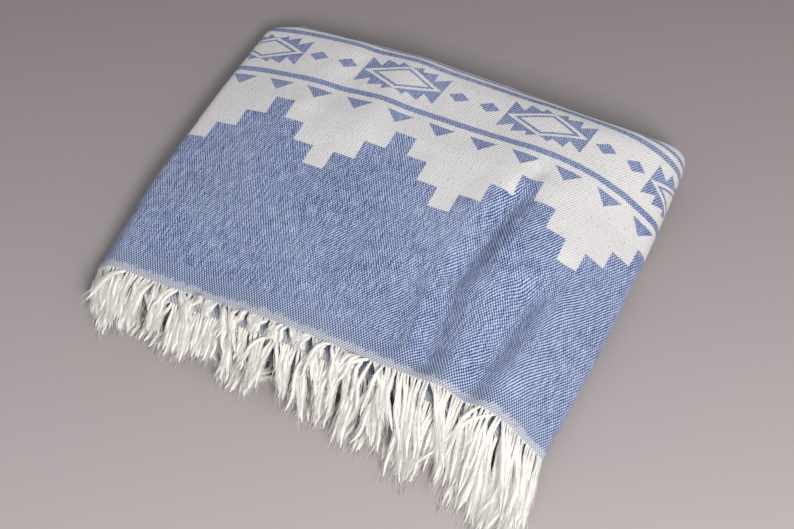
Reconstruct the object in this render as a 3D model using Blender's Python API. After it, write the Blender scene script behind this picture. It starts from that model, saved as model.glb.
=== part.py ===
"""Folded cotton throw with two fringed hems, lying on a flat surface.

The cloth is one sheet. It is folded lengthwise into four layers, top to bottom:
first hem layer, second hem layer, third layer, fourth layer. The first and fourth meet
in the outer back fold, the second and third in the inner back fold, and the third and
fourth in the front fold. The four layers are then folded over once across the width,
round a soft roll at the right, so the lower half mirrors the upper one.
Metres, +Z up, +X right, +Y to the back. The origin is on the flat underside.
"""

import math

import bmesh
import bpy
import numpy as np

# Driving sizes
SQUARE = 0.0238
CLOTH_WIDTH = 1.00
CLOTH_THICKNESS = 0.0020
HEM_Y = -0.200
PATTERN_S = 0.2555
LEFT_EDGE = -3.1 * SQUARE
RIGHT_EDGE = LEFT_EDGE + CLOTH_WIDTH
REFERENCE_U = 8 * SQUARE
HEM_SHIFT_X = -0.002
SECOND_HEM_STEP = 0.013
FRONT_FOLD_STEP = 0.004
LAST_STATION_S = 0.385

# Slope of the top layer across the width, in degrees, positive where it falls to the right.
# Columns: place in squares, slope at the hem, at the pattern and at the back fold.
SLOPES = (
    (-3, -6, -20, -20),
    (-1, -6, -18, -18),
    (1, -8, -14, -14),
    (3, -11, -6, -6),
    (5, -10, -5, -5),
    (7, -3, -5, -5),
    (9, 1, -5, -5),
    (11, -6, -10, -10),
    (13, -8, 4, -2),
    (15, 10, 25, 4),
    (17, 44, 36, 34),
)

# Where the two sides turn down. Columns: distance from the hem, place in squares where the
# left side drops, its slope in degrees, place in squares where the right roll starts, roll length.
SIDES = (
    (0.0000, -1.7, -50, 18.5, 0.033),
    (0.1200, -2.4, -66, 18.35, 0.041),
    (0.2555, -2.6, -74, 18.0, 0.050),
    (0.3850, -2.5, -70, 17.0, 0.088),
)
LEFT_TURN = 0.022

# Where the outer back fold ends. Columns: place in squares, distance behind the hem.
BACK_EDGE = (
    (-3.1, 0.3615),
    (-1.5, 0.3735),
    (1.0, 0.3710),
    (5.0, 0.3770),
    (9.0, 0.3770),
    (13.0, 0.3700),
    (16.0, 0.3730),
    (18.0, 0.3830),
    (20.8, 0.3820),
    (38.9, 0.3760),
)

# Height of the four layers together, middle to middle.
# Columns: place in squares, at the hem, at the pattern and behind it.
STACKS = (
    (-3.1, 0.0096, 0.0096),
    (-2.2, 0.0100, 0.0140),
    (-1.0, 0.0120, 0.0200),
    (1.0, 0.0165, 0.0290),
    (4.0, 0.0250, 0.0380),
    (8.0, 0.0340, 0.0460),
    (12.0, 0.0380, 0.0520),
    (14.0, 0.0360, 0.0460),
    (16.0, 0.0260, 0.0310),
    (17.4, 0.0150, 0.0180),
    (18.4, 0.0106, 0.0112),
    (22.0, 0.0106, 0.0106),
    (25.0, 0.0190, 0.0200),
    (30.0, 0.0190, 0.0210),
    (35.0, 0.0130, 0.0150),
    (38.5, 0.0100, 0.0100),
)

# Soft creases in the top layer, fading in the layers below.
# Columns: start x, start y, end x, end y, half width, rise (negative for a trough).
CREASES = (
    (0.105, 0.075, 0.088, -0.080, 0.014, -0.0090),
    (0.088, -0.080, 0.106, -0.180, 0.014, -0.0080),
    (0.155, -0.115, 0.143, -0.190, 0.015, -0.0080),
    (0.050, -0.095, 0.064, -0.170, 0.014, -0.0040),
    (-0.036, -0.030, -0.031, -0.170, 0.018, -0.0025),
    (0.166, -0.020, 0.178, -0.110, 0.014, -0.0025),
    (-0.135, 0.050, -0.120, 0.160, 0.016, -0.0025),
    (-0.085, 0.040, -0.070, 0.160, 0.020, 0.0030),
)

# Share of the stack's height at each layer, one for the top layer and zero for the fourth.
FIRST, SECOND, THIRD, FOURTH = 1.0, 2 / 3, 1 / 3, 0.0
# Creases are full where the cloth is less tilted than the first angle, and gone past the second.
CREASED_TILTS = (30, 60)

# How far the folds bulge past the flat runs: a least reach, and a share of the stack's height.
OUTER_FOLD_REACH = (0.008, 0.65)
INNER_FOLD_REACH = (0.0, 1 / 6)
FRONT_FOLD_REACH = (0.001, 0.10)

# Rows of points along each run of the folded path, and columns across the width.
RUN_ROWS = {FIRST: 13, SECOND: 7, THIRD: 7, FOURTH: 7}
OUTER_FOLD_ROWS = 6
INNER_FOLD_ROWS = 3
FRONT_FOLD_ROWS = 3
LEFT_COLUMNS = 4
UPPER_COLUMNS = 23
ROLL_COLUMNS = 9
LOWER_COLUMNS = 5
LEFT_TO = -1.9 * SQUARE
ROLL_FROM, ROLL_TO = 17.0 * SQUARE, 20.8 * SQUARE

# Fringe
SEAM_GAP = 0.0003
STRIP_DEPTH = 0.0025
EDGE_MARGIN = 0.001
ROOT_WIDTH = 0.0078
LOCK_WIDTH = 0.0062
LOCK_TIP_WIDTH = 0.0026
LOCK_THICKNESS = 0.0018
LOCK_TIP_THICKNESS = 0.0010
NARROWING_POWER = 1.6
LENGTH_SPREAD = (0.86, 1.06)
SWEEP_SPREAD = 1.2
SWAY = 0.0014
SWAY_TURN = math.pi * 1.6
LEVELLED_AT = 0.30
LOWER_LENGTH_SHARE = 0.78
UPPER_PITCH = 0.0125
LOWER_PITCH = 0.0230
SKIPPED_PITCH = 0.0117
LOWER_HALF_FROM = 100
FLOOR_LEVELS = {FIRST: (0.0077, 0.0009), SECOND: (0.0054, 0.0031)}
FALL_POWER = {FIRST: 1.0, SECOND: 1.5}
SKIPPED_TILTS = {FIRST: (95, 168), SECOND: (70, 168)}

# Fall of the upper fringe. Columns: distance in front of the first hem, share of height left.
FALL = ((0.000, 1.00), (0.016, 0.97), (0.028, 0.80), (0.044, 0.40), (0.058, 0.12), (0.070, 0.0))
# Lie of the locks. Columns: place x, sweep to the right in degrees, length.
LIE = (
    (-0.260, -8, 0.058),
    (-0.225, -4, 0.060),
    (-0.185, 4, 0.062),
    (-0.100, 10, 0.068),
    (0.000, 14, 0.079),
    (0.100, 17, 0.098),
    (0.240, 12, 0.102),
)
LOCK_STATIONS = (0.18, 0.42, 0.70, 1.0)

BLUE = (0.130, 0.235, 0.480, 1.0)
CREAM = (0.830, 0.800, 0.730, 1.0)


def columns_of(table):
    return np.array(table, dtype=float).T


def ease(value):
    """Smooth step from 0 to 1."""
    value = np.clip(value, 0.0, 1.0)
    return value * value * (3.0 - 2.0 * value)


def hem_share(s):
    """One at the hem, zero from the pattern rows to the back."""
    return min(max(1.0 - s / PATTERN_S, 0.0), 1.0)


def back_share(s):
    """Zero up to the pattern rows, one at the back fold."""
    return min(max((s - PATTERN_S) / (LAST_STATION_S - PATTERN_S), 0.0), 1.0)


def stack_height(us, s):
    place, at_hem, at_pattern = columns_of(STACKS)
    height = at_pattern + (at_hem - at_pattern) * hem_share(s)
    return np.interp(us, place * SQUARE, height)


def top_section(us, s):
    """x, z and tilt in radians of the top layer's middle at the places us, s behind the hem."""
    place, at_hem, at_pattern, at_back = columns_of(SLOPES)
    share = hem_share(s)
    slopes = at_pattern + (at_hem - at_pattern) * share + (at_back - at_pattern) * back_share(s)
    stations, left, left_slope, right, roll = columns_of(SIDES)
    left_u = np.interp(s, stations, left) * SQUARE
    drop_slope = np.interp(s, stations, left_slope)
    roll_u = np.interp(s, stations, right) * SQUARE
    roll_length = np.interp(s, stations, roll)
    fine = np.append(np.linspace(LEFT_EDGE, roll_u + roll_length, 500), RIGHT_EDGE)
    slope = np.interp(fine, place * SQUARE, slopes)
    slope += (drop_slope - slope) * ease((left_u - fine) / LEFT_TURN)
    tilt = np.radians(slope)
    roll_start = np.interp(roll_u, fine, tilt)
    rolled = roll_start + (math.pi - roll_start) * (fine - roll_u) / roll_length
    tilt = np.where(fine > roll_u, np.minimum(rolled, math.pi), tilt)
    middle = 0.5 * (tilt[1:] + tilt[:-1])
    middle[-1] = math.pi
    step = np.diff(fine)
    x = np.append(0.0, np.cumsum(np.cos(middle) * step))
    z = np.append(0.0, -np.cumsum(np.sin(middle) * step))
    x += HEM_SHIFT_X * share - np.interp(REFERENCE_U, fine, x)
    z += CLOTH_THICKNESS / 2 - z[-1]
    return np.interp(us, fine, x), np.interp(us, fine, z), np.interp(us, fine, tilt)


def crease_rise(x, y):
    """Height that the creases add at each point."""
    rise = np.zeros_like(x)
    for x0, y0, x1, y1, width, height in CREASES:
        along_x, along_y = x1 - x0, y1 - y0
        share = ((x - x0) * along_x + (y - y0) * along_y) / (along_x**2 + along_y**2)
        share = np.clip(share, 0.0, 1.0)
        apart = np.hypot(x - x0 - share * along_x, y - y0 - share * along_y)
        rise += height * np.exp(-((apart / width) ** 2))
    return rise


def layer_points(us, s_row, layer):
    """Points of one row at the places us. s_row holds each point's distance behind the hem."""
    points = np.zeros((len(us), 3))
    tilts = np.zeros(len(us))
    for index, (u, s) in enumerate(zip(us, s_row)):
        station = min(max(s, 0.0), LAST_STATION_S)
        place = np.array([u])
        x, z, tilt = (value[0] for value in top_section(place, station))
        depth = stack_height(place, station)[0] * (1.0 - layer)
        points[index] = (x - math.sin(tilt) * depth, HEM_Y + s, z - math.cos(tilt) * depth)
        tilts[index] = tilt
    full, gone = np.radians(CREASED_TILTS)
    on_top = ease((gone - tilts) / (gone - full)) * layer**2
    points[:, 2] += on_top * crease_rise(points[:, 0], points[:, 1])
    return points, tilts


def fold_reach(us, s, least, share):
    """How far a fold bulges past the end of the flat runs."""
    return least + share * stack_height(us, s)


def back_fold_s(us):
    """Where the flat runs end and the back folds start."""
    place, edge = columns_of(BACK_EDGE)
    return np.interp(us, place * SQUARE, edge) - fold_reach(us, LAST_STATION_S, *OUTER_FOLD_REACH)


def flat_run(us, layer, front_s, to_back):
    fold_s = back_fold_s(us)
    shares = np.linspace(0.0, 1.0, RUN_ROWS[layer])
    if not to_back:
        shares = shares[::-1]
    return [(front_s + (fold_s - front_s) * share, layer) for share in shares]


def round_fold(base_s, reach, upper, lower, rows):
    """Rows between two layers round a fold, without the runs' own end rows."""
    middle, half = 0.5 * (upper + lower), 0.5 * (upper - lower)
    angles = np.linspace(0.0, math.pi, rows + 2)[1:-1]
    return [(base_s + reach * math.sin(a), middle + half * math.cos(a)) for a in angles]


def folded_path(us):
    """The rows from the first hem to the second: distances behind the hem and the layer."""
    fold_s = back_fold_s(us)
    front_s = np.full(len(us), FRONT_FOLD_STEP)
    outer_reach = fold_reach(us, LAST_STATION_S, *OUTER_FOLD_REACH)
    inner_reach = fold_reach(us, LAST_STATION_S, *INNER_FOLD_REACH)
    front_reach = fold_reach(us, 0.0, *FRONT_FOLD_REACH)
    rows = flat_run(us, FIRST, 0.0, True)
    rows += round_fold(fold_s, outer_reach, FIRST, FOURTH, OUTER_FOLD_ROWS)
    rows += flat_run(us, FOURTH, FRONT_FOLD_STEP, False)
    rows += round_fold(front_s, -front_reach, FOURTH, THIRD, FRONT_FOLD_ROWS)
    rows += flat_run(us, THIRD, FRONT_FOLD_STEP, True)
    rows += round_fold(fold_s, inner_reach, THIRD, SECOND, INNER_FOLD_ROWS)
    rows += flat_run(us, SECOND, -SECOND_HEM_STEP, False)
    return rows


def across_places():
    left = np.linspace(LEFT_EDGE, LEFT_TO, LEFT_COLUMNS + 1)
    upper = np.linspace(LEFT_TO, ROLL_FROM, UPPER_COLUMNS + 1)[1:]
    roll = np.linspace(ROLL_FROM, ROLL_TO, ROLL_COLUMNS + 1)[1:]
    lower = np.linspace(ROLL_TO, RIGHT_EDGE, LOWER_COLUMNS + 1)[1:]
    return np.concatenate([left, upper, roll, lower])


def plain_material(name, colour, roughness):
    material = bpy.data.materials.new(name)
    material.use_nodes = True
    shader = material.node_tree.nodes["Principled BSDF"]
    shader.inputs["Base Color"].default_value = colour
    shader.inputs["Roughness"].default_value = roughness
    shader.inputs["Metallic"].default_value = 0.0
    return material


def add_object(name, mesh, material):
    mesh.materials.append(material)
    mesh.shade_smooth()
    thing = bpy.data.objects.new(name, mesh)
    bpy.context.scene.collection.objects.link(thing)
    return thing


def rest_on_floor(mesh):
    """Keeps the underside flat where thickening pushed a point a hair below the floor."""
    for vertex in mesh.vertices:
        vertex.co.z = max(vertex.co.z, 0.0)


def make_blanket():
    us = across_places()
    rows = []
    for s, layer in folded_path(us):
        points, _ = layer_points(us, np.broadcast_to(s, us.shape), layer)
        rows.append(points)
    shape = bmesh.new()
    grid = [[shape.verts.new(point) for point in row] for row in rows]
    for front, back in zip(grid, grid[1:]):
        for a, b, c, d in zip(front, front[1:], back[1:], back):
            shape.faces.new((a, b, c, d))
    middle = bpy.data.meshes.new("blanket_middle")
    shape.to_mesh(middle)
    shape.free()
    blanket = add_object("blanket", middle, plain_material("blue_cotton", BLUE, 0.92))
    thicken = blanket.modifiers.new("cloth_thickness", "SOLIDIFY")
    thicken.thickness = CLOTH_THICKNESS
    thicken.offset = 0.0
    thicken.use_rim = True
    bpy.context.view_layer.update()
    thickened = blanket.evaluated_get(bpy.context.evaluated_depsgraph_get())
    solid = bpy.data.meshes.new_from_object(thickened)
    blanket.modifiers.clear()
    blanket.data = solid
    solid.name = "blanket"
    bpy.data.meshes.remove(middle)
    rest_on_floor(solid)
    return blanket


def lock_places(layer):
    """Places along a hem where a lock's root starts, as (start, has_lock) for each stretch."""
    stretches = []
    u = LEFT_EDGE + EDGE_MARGIN
    end = RIGHT_EDGE - EDGE_MARGIN - ROOT_WIDTH
    skip_from, skip_to = (math.radians(angle) for angle in SKIPPED_TILTS[layer])
    while u < end:
        _, _, tilt = top_section(np.array([u + ROOT_WIDTH / 2]), 0.0)
        rooted = not skip_from < tilt[0] < skip_to
        stretches.append((u, rooted))
        stretches.append((u + ROOT_WIDTH, False))
        if tilt[0] >= skip_to:
            u += LOWER_PITCH
        else:
            u += UPPER_PITCH if rooted else SKIPPED_PITCH
    return stretches


def fall_share(front):
    distance, share = columns_of(FALL)
    return np.interp(front, distance, share)


def unit(vector):
    return vector / np.linalg.norm(vector)


def section_corners(middle, width_way, width, thick_way, thick):
    half_w, half_t = width_way * width / 2, thick_way * thick / 2
    return [middle - half_w - half_t, middle - half_w + half_t,
            middle + half_w + half_t, middle + half_w - half_t]


def lock_sections(left, right, tilt, layer, step, chance):
    """Four-cornered sections of one lock, from just past its root to its tip."""
    centre = (left + right) / 2
    across = unit(right - left)
    facing = 1.0 if across[0] >= 0 else -1.0
    upper = tilt < math.radians(LOWER_HALF_FROM)
    level = FLOOR_LEVELS[layer][0 if upper else 1]
    place, angle, lengths = columns_of(LIE)
    sweep_now = np.interp(centre[0], place, angle) + chance.uniform(-SWEEP_SPREAD, SWEEP_SPREAD)
    sweep = math.radians(sweep_now)
    length = np.interp(centre[0], place, lengths) * chance.uniform(*LENGTH_SPREAD)
    sway = chance.uniform(-SWAY, SWAY)
    level_way = np.array([math.cos(sweep), math.sin(sweep), 0.0]) * facing
    rise = np.array([0.0, 0.0, facing])
    start_front = step + SEAM_GAP + STRIP_DEPTH
    drop = centre[2] - level
    if not upper:
        length *= LOWER_LENGTH_SHARE
    forward = math.sqrt(length**2 - drop**2) * math.cos(sweep)
    sections = []
    for share in LOCK_STATIONS:
        front = start_front + share * forward
        aside = math.tan(sweep) * share * forward + sway * math.sin(SWAY_TURN * share)
        turned = min(share / LEVELLED_AT, 1.0)
        kept = fall_share(front) / fall_share(start_front) if upper else 1.0 - ease(turned)
        z = level + drop * kept ** FALL_POWER[layer]
        width_way = unit(across * (1 - turned) + level_way * turned)
        thick_way = np.cross((0.0, -1.0, 0.0), width_way) * (1 - turned) + rise * turned
        width = LOCK_WIDTH + (LOCK_TIP_WIDTH - LOCK_WIDTH) * share**NARROWING_POWER
        thick = LOCK_THICKNESS + (LOCK_TIP_THICKNESS - LOCK_THICKNESS) * share**2
        if not upper:
            z -= (LOCK_THICKNESS - thick) / 2
        middle = np.array([centre[0] + aside, HEM_Y - front, max(z, thick / 2)])
        sections.append(section_corners(middle, width_way, width, unit(thick_way), thick))
    return sections


def make_fringe(name, layer, step, seed):
    """A narrow strip just in front of a hem, with its locks rooted in the strip's front face."""
    chance = np.random.default_rng(seed)
    stretches = lock_places(layer)
    us = np.array([start for start, _ in stretches])
    middles, tilts = layer_points(us, np.full(len(us), -step), layer)
    shape = bmesh.new()
    rings = []
    for point, tilt in zip(middles, tilts):
        up = np.array([math.sin(tilt), 0.0, math.cos(tilt)]) * CLOTH_THICKNESS / 2
        back = point - (0.0, SEAM_GAP, 0.0)
        front = point - (0.0, SEAM_GAP + STRIP_DEPTH, 0.0)
        corners = (back - up, back + up, front + up, front - up)
        for corner in corners:
            corner[2] = max(corner[2], 0.0)
        rings.append([shape.verts.new(corner) for corner in corners])
    shape.faces.new(rings[0])
    shape.faces.new(rings[-1][::-1])
    for index, (this, following) in enumerate(zip(rings, rings[1:])):
        for a, b in ((0, 1), (1, 2), (3, 0)):
            shape.faces.new((this[a], following[a], following[b], this[b]))
        section = [this[3], this[2], following[2], following[3]]
        if stretches[index][1]:
            left, right = middles[index], middles[index + 1]
            tilt = 0.5 * (tilts[index] + tilts[index + 1])
            for points in lock_sections(left, right, tilt, layer, step, chance):
                further = [shape.verts.new(point) for point in points]
                for a, b in ((0, 1), (1, 2), (2, 3), (3, 0)):
                    shape.faces.new((section[b], section[a], further[a], further[b]))
                section = further
        shape.faces.new(section[::-1])
    bmesh.ops.recalc_face_normals(shape, faces=shape.faces)
    mesh = bpy.data.meshes.new(name)
    shape.to_mesh(mesh)
    shape.free()
    return add_object(name, mesh, plain_material(name + "_yarn", CREAM, 0.95))


def main():
    for thing in list(bpy.data.objects):
        bpy.data.objects.remove(thing)
    make_blanket()
    make_fringe("fringe_upper", FIRST, 0.0, 5)
    make_fringe("fringe_under", SECOND, SECOND_HEM_STEP, 9)


main()
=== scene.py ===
import math

import bpy
import numpy as np
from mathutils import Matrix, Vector, noise


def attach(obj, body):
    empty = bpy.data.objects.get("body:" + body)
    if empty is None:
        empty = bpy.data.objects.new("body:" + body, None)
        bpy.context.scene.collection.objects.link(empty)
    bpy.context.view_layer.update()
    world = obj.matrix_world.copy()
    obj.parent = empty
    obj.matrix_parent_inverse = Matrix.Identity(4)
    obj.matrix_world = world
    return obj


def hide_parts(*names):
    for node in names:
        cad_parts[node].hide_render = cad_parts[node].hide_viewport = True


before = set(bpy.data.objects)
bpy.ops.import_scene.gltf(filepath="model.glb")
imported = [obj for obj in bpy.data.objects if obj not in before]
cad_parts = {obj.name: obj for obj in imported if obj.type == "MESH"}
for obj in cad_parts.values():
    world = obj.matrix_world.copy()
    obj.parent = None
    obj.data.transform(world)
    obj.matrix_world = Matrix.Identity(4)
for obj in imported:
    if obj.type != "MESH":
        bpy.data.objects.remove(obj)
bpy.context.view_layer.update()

# Folded cloth
# One woven cotton sheet with a blue twill field and a stepped ivory border at each end.
# It is folded lengthwise into four layers, then once over a soft roll at the right, and laid
# down. All its sizes are in metres, u across the cloth and s along it from the first hem.

SQUARE = 0.0238
CLOTH_WIDTH = 1.00
CLOTH_THICKNESS = 0.0018
HEM_Y = -0.200
PATTERN_S = 0.2555
LEFT_EDGE = -3.1 * SQUARE
RIGHT_EDGE = LEFT_EDGE + CLOTH_WIDTH
REFERENCE_U = 8 * SQUARE
HEM_SHIFT_X = -0.002
SECOND_HEM_STEP = 0.013
FRONT_FOLD_STEP = 0.004
LAST_STATION_S = 0.385

# Slope of the top layer across the cloth, in degrees, positive where it falls to the right.
# Columns: place in squares, slope at the hem, at the border and at the back fold.
SLOPES = (
    (-3, -6, -20, -20),
    (-1, -6, -18, -18),
    (1, -8, -14, -14),
    (3, -11, -6, -6),
    (5, -10, -5, -5),
    (7, -3, -5, -5),
    (9, 1, -5, -5),
    (11, -6, -10, -10),
    (13, -8, 4, -2),
    (15, 10, 25, 4),
    (17, 44, 36, 34),
)

# Where the two sides turn down. Columns: distance from the hem, place in squares where the
# left side drops, its slope in degrees, place in squares where the right roll starts, roll length.
SIDES = (
    (0.0000, -1.7, -50, 18.5, 0.033),
    (0.1200, -2.4, -66, 18.35, 0.041),
    (0.2555, -2.6, -74, 18.0, 0.050),
    (0.3850, -2.5, -70, 17.0, 0.088),
)
LEFT_TURN = 0.022

# Where the outer back fold ends. Columns: place in squares, distance behind the hem.
BACK_EDGE = (
    (-3.1, 0.3615),
    (-1.5, 0.3735),
    (1.0, 0.3710),
    (5.0, 0.3770),
    (9.0, 0.3770),
    (13.0, 0.3700),
    (16.0, 0.3730),
    (18.0, 0.3830),
    (20.8, 0.3820),
    (38.9, 0.3760),
)

# Height of the four layers together. Columns: place in squares, at the hem, at the border.
STACKS = (
    (-3.1, 0.0096, 0.0096),
    (-2.2, 0.0100, 0.0140),
    (-1.0, 0.0120, 0.0200),
    (1.0, 0.0165, 0.0290),
    (4.0, 0.0250, 0.0380),
    (8.0, 0.0340, 0.0460),
    (12.0, 0.0380, 0.0520),
    (14.0, 0.0360, 0.0460),
    (16.0, 0.0260, 0.0310),
    (17.4, 0.0150, 0.0180),
    (18.4, 0.0106, 0.0112),
    (22.0, 0.0106, 0.0106),
    (25.0, 0.0190, 0.0200),
    (30.0, 0.0190, 0.0210),
    (35.0, 0.0130, 0.0150),
    (38.5, 0.0100, 0.0100),
)

# Soft creases of the top layer.
# Columns: start x, start y, end x, end y, half width, rise (negative for a trough).
CREASES = (
    (0.107, 0.064, 0.103, 0.040, 0.012, -0.0060),
    (0.103, 0.030, 0.096, 0.000, 0.014, -0.0120),
    (0.096, 0.000, 0.087, -0.080, 0.015, -0.0145),
    (0.087, -0.080, 0.101, -0.176, 0.015, -0.0125),
    (0.122, 0.000, 0.114, -0.080, 0.014, 0.0030),
    (0.158, -0.070, 0.154, -0.150, 0.017, -0.0160),
    (0.154, -0.150, 0.152, -0.190, 0.015, -0.0130),
    (0.190, -0.060, 0.186, -0.150, 0.015, 0.0055),
    (0.050, -0.095, 0.064, -0.170, 0.014, -0.0045),
    (-0.036, -0.030, -0.031, -0.170, 0.018, -0.0025),
    (0.171, -0.020, 0.180, -0.090, 0.012, -0.0035),
    (-0.135, 0.050, -0.120, 0.160, 0.016, -0.0025),
    (-0.085, 0.040, -0.070, 0.160, 0.020, 0.0030),
)

# Share of the stack's height at each layer.
FIRST, SECOND, THIRD, FOURTH = 1.0, 2 / 3, 1 / 3, 0.0
# Creases are full where the cloth is less tilted than the first angle, and gone past the second.
CREASED_TILTS = (30, 60)
# How far the folds bulge past the flat runs: a least reach, and a share of the stack's height.
OUTER_FOLD_REACH = (0.008, 0.65)
INNER_FOLD_REACH = (0.0, 1 / 6)
FRONT_FOLD_REACH = (0.001, 0.10)
RUN_ROWS = {FIRST: 150, SECOND: 14, THIRD: 14, FOURTH: 14}
OUTER_FOLD_ROWS = 14
INNER_FOLD_ROWS = 5
FRONT_FOLD_ROWS = 5
LEFT_TO = -1.9 * SQUARE
ROLL_FROM, ROLL_TO = 17.0 * SQUARE, 20.8 * SQUARE
# Columns of faces across the cloth: from, to, count.
COLUMNS = (
    (LEFT_EDGE, LEFT_TO, 12),
    (LEFT_TO, ROLL_FROM, 140),
    (ROLL_FROM, ROLL_TO, 32),
    (ROLL_TO, RIGHT_EDGE, 12),
)

# Shallow unevenness of the cloth: size of the waves and their height.
RIPPLES = ((0.045, 0.0010), (0.018, 0.0005))
# The unevenness grows between these two heights of the stack.
RIPPLED_STACKS = (0.010, 0.020)


def columns_of(table):
    return np.array(table, float).T


def ease(value):
    """Smooth step from 0 to 1."""
    value = np.clip(value, 0.0, 1.0)
    return value * value * (3.0 - 2.0 * value)


def hem_share(s):
    """One at the hem, zero from the border to the back."""
    return np.clip(1.0 - s / PATTERN_S, 0.0, 1.0)


def back_share(s):
    """Zero up to the border, one at the back fold."""
    return np.clip((s - PATTERN_S) / (LAST_STATION_S - PATTERN_S), 0.0, 1.0)


def stack_height(u, s):
    place, at_hem, at_border = columns_of(STACKS)
    share = hem_share(s)
    front = np.interp(u, place * SQUARE, at_hem)
    back = np.interp(u, place * SQUARE, at_border)
    return back + (front - back) * share


def cross_section(s, fine):
    """x, z and tilt of the top layer's middle along the fine places, s behind the hem."""
    place, at_hem, at_border, at_back = columns_of(SLOPES)
    share = hem_share(s)
    slopes = at_border + (at_hem - at_border) * share + (at_back - at_border) * back_share(s)
    stations, left, left_slope, right, roll = columns_of(SIDES)
    left_u = np.interp(s, stations, left) * SQUARE
    drop_slope = np.interp(s, stations, left_slope)
    roll_u = np.interp(s, stations, right) * SQUARE
    roll_length = np.interp(s, stations, roll)
    slope = np.interp(fine, place * SQUARE, slopes)
    slope += (drop_slope - slope) * ease((left_u - fine) / LEFT_TURN)
    tilt = np.radians(slope)
    roll_start = np.interp(roll_u, fine, tilt)
    rolled = roll_start + (math.pi - roll_start) * (fine - roll_u) / roll_length
    tilt = np.where(fine > roll_u, np.minimum(rolled, math.pi), tilt)
    middle = 0.5 * (tilt[1:] + tilt[:-1])
    step = np.diff(fine)
    x = np.append(0.0, np.cumsum(np.cos(middle) * step))
    z = np.append(0.0, -np.cumsum(np.sin(middle) * step))
    x += HEM_SHIFT_X * share - np.interp(REFERENCE_U, fine, x)
    z += CLOTH_THICKNESS / 2 - z[-1]
    return x, z, tilt


# The top layer is worked out once at this many places across and distances along.
FINE_COUNT, STATION_COUNT = 900, 60
FINE_U = np.append(np.linspace(LEFT_EDGE, ROLL_TO, FINE_COUNT), RIGHT_EDGE)
STATIONS = np.linspace(0.0, LAST_STATION_S, STATION_COUNT)
SECTIONS = np.array([cross_section(s, FINE_U) for s in STATIONS])


def top_layer(u, s):
    """x, z and tilt of the top layer's middle at places u, distances s behind the hem."""
    row = np.clip(s, 0.0, LAST_STATION_S) / LAST_STATION_S * (len(STATIONS) - 1)
    column = np.interp(u, FINE_U, np.arange(len(FINE_U)))
    r0 = np.minimum(row.astype(int), len(STATIONS) - 2)
    c0 = np.minimum(column.astype(int), len(FINE_U) - 2)
    r, c = row - r0, column - c0
    corners = [
        SECTIONS[r0, :, c0] * ((1 - r) * (1 - c))[:, None],
        SECTIONS[r0 + 1, :, c0] * (r * (1 - c))[:, None],
        SECTIONS[r0, :, c0 + 1] * ((1 - r) * c)[:, None],
        SECTIONS[r0 + 1, :, c0 + 1] * (r * c)[:, None],
    ]
    return sum(corners).T


def crease_rise(x, y):
    """The deepest trough and the highest ridge at each place, so creases run on end to end."""
    trough = np.zeros_like(x)
    ridge = np.zeros_like(x)
    for x0, y0, x1, y1, width, height in CREASES:
        along_x, along_y = x1 - x0, y1 - y0
        share = ((x - x0) * along_x + (y - y0) * along_y) / (along_x**2 + along_y**2)
        share = np.clip(share, 0.0, 1.0)
        apart = np.hypot(x - x0 - share * along_x, y - y0 - share * along_y)
        rise = height * np.exp(-((apart / width) ** 2))
        trough = np.minimum(trough, rise)
        ridge = np.maximum(ridge, rise)
    return trough + ridge


def ripple_rise(u, s):
    rise = np.zeros_like(u)
    for size, height in RIPPLES:
        rise += [height * noise.noise(Vector((a / size, b / size, size))) for a, b in zip(u, s)]
    return rise


def layer_points(u, s, layer, creased=True, rippled=False):
    """Points of a layer's middle, with the tilt of the cloth across its width."""
    x, z, tilt = top_layer(u, s)
    station = np.clip(s, 0.0, LAST_STATION_S)
    depth = stack_height(u, station) * (1.0 - layer)
    points = np.stack([x - np.sin(tilt) * depth, HEM_Y + s, z - np.cos(tilt) * depth], axis=1)
    full, gone = np.radians(CREASED_TILTS)
    on_top = ease((gone - tilt) / (gone - full)) * layer**2
    if creased:
        points[:, 2] += on_top * crease_rise(points[:, 0], points[:, 1])
    if rippled:
        taut, loose = RIPPLED_STACKS
        slack = np.clip((stack_height(u, station) - taut) / (loose - taut), 0.0, 1.0)
        points[:, 2] += on_top * slack * ripple_rise(u, s)
    return points, tilt


def fold_reach(u, s, least, share):
    """How far a fold bulges past the end of the flat runs."""
    return least + share * stack_height(u, s)


def back_fold_s(u):
    """Where the flat runs end and the back folds start."""
    place, edge = columns_of(BACK_EDGE)
    return np.interp(u, place * SQUARE, edge) - fold_reach(u, LAST_STATION_S, *OUTER_FOLD_REACH)


def flat_run(u, layer, front_s, to_back):
    shares = np.linspace(0.0, 1.0, RUN_ROWS[layer])
    if not to_back:
        shares = shares[::-1]
    fold_s = back_fold_s(u)
    return [(front_s + (fold_s - front_s) * share, layer) for share in shares]


def round_fold(base_s, reach, upper, lower, rows):
    middle, half = 0.5 * (upper + lower), 0.5 * (upper - lower)
    angles = np.linspace(0.0, math.pi, rows + 2)[1:-1]
    return [(base_s + reach * math.sin(a), middle + half * math.cos(a)) for a in angles]


def folded_path(u):
    """Rows from the first hem to the second: distances behind the hem and the layer."""
    fold_s = back_fold_s(u)
    outer_reach = fold_reach(u, LAST_STATION_S, *OUTER_FOLD_REACH)
    inner_reach = fold_reach(u, LAST_STATION_S, *INNER_FOLD_REACH)
    front_reach = fold_reach(u, 0.0, *FRONT_FOLD_REACH)
    rows = flat_run(u, FIRST, 0.0, True)
    rows += round_fold(fold_s, outer_reach, FIRST, FOURTH, OUTER_FOLD_ROWS)
    rows += flat_run(u, FOURTH, FRONT_FOLD_STEP, False)
    rows += round_fold(FRONT_FOLD_STEP, -front_reach, FOURTH, THIRD, FRONT_FOLD_ROWS)
    rows += flat_run(u, THIRD, FRONT_FOLD_STEP, True)
    rows += round_fold(fold_s, inner_reach, THIRD, SECOND, INNER_FOLD_ROWS)
    rows += flat_run(u, SECOND, -SECOND_HEM_STEP, False)
    return rows


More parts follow.
